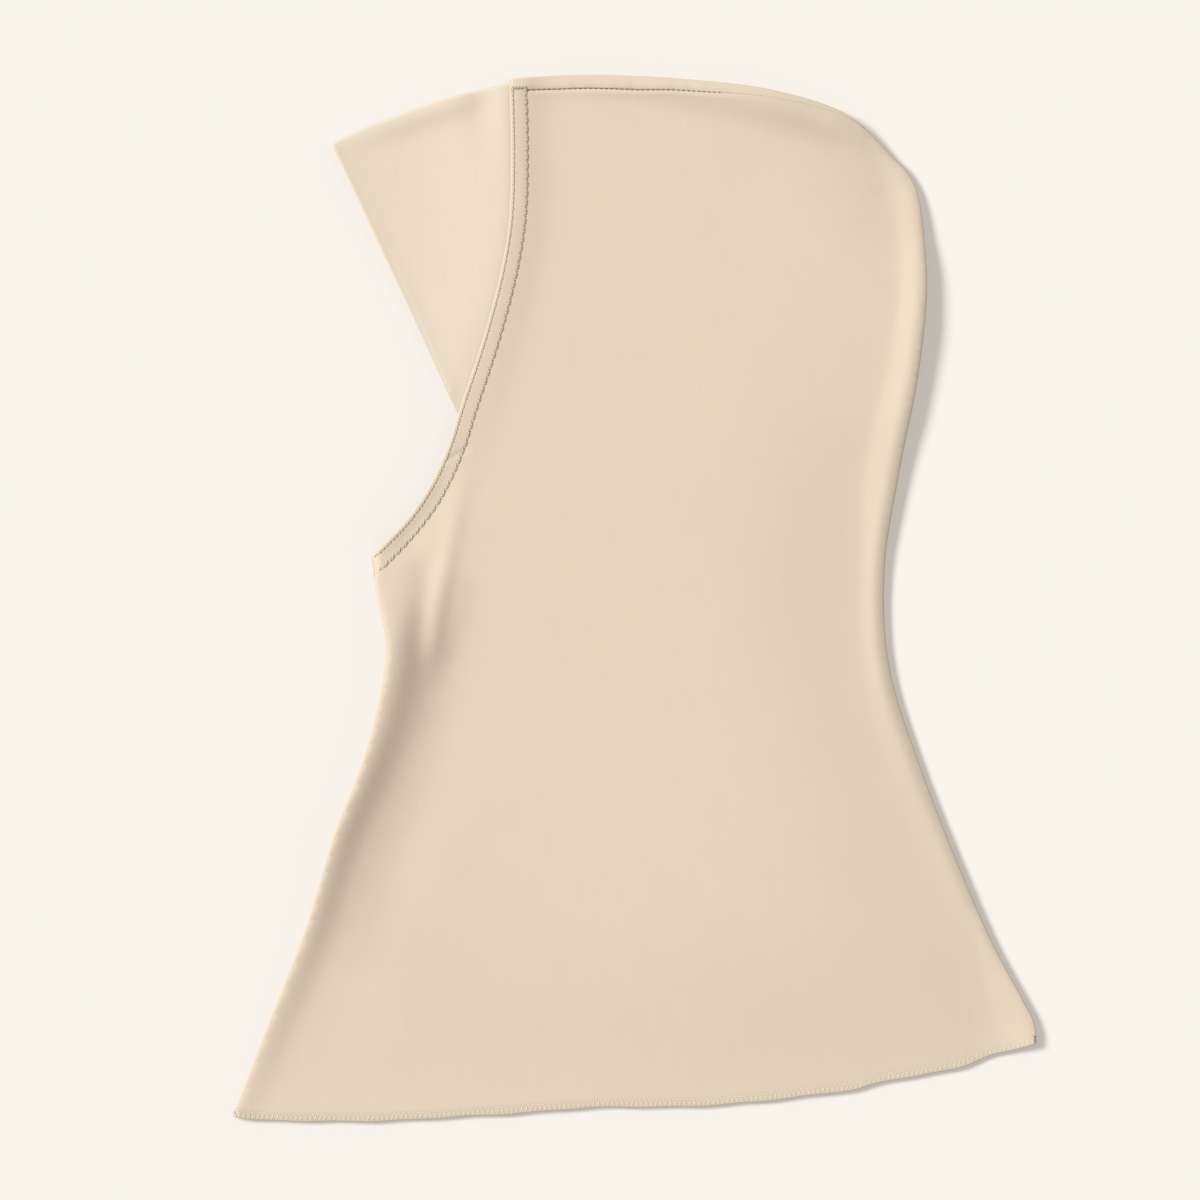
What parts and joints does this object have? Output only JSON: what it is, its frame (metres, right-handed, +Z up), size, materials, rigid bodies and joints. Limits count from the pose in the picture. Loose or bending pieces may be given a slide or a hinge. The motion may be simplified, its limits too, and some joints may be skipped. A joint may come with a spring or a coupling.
{
  "type": "instant hijab, laid flat on its side",
  "caption": "Pull-on jersey hood with a soft visor, a turned face band and a flared shoulder hem, folded in half along its centre line.",
  "frame": {"origin": "centre of the bounding box in plan, at the surface that the hijab lies on", "axes": "+X towards the back of the head, +Y towards the crown, +Z up from the surface"},
  "size_m": [0.401, 0.523, 0.0145],
  "materials": {
    "jersey": "matt beige cotton jersey, fine plain knit",
    "visor_jersey": "matt beige cotton jersey, doubled over a soft core, smooth",
    "band_jersey": "matt beige cotton jersey, turned edge with two rows of cover stitch",
    "hem_thread": "matt beige overlock thread over the raw jersey edge"
  },
  "bodies": {
    "root": {"near_panel": "jersey", "far_panel": "jersey", "visor": "visor_jersey", "face_band": "band_jersey", "hem_edge": "hem_thread"}
  },
  "joints": []
}
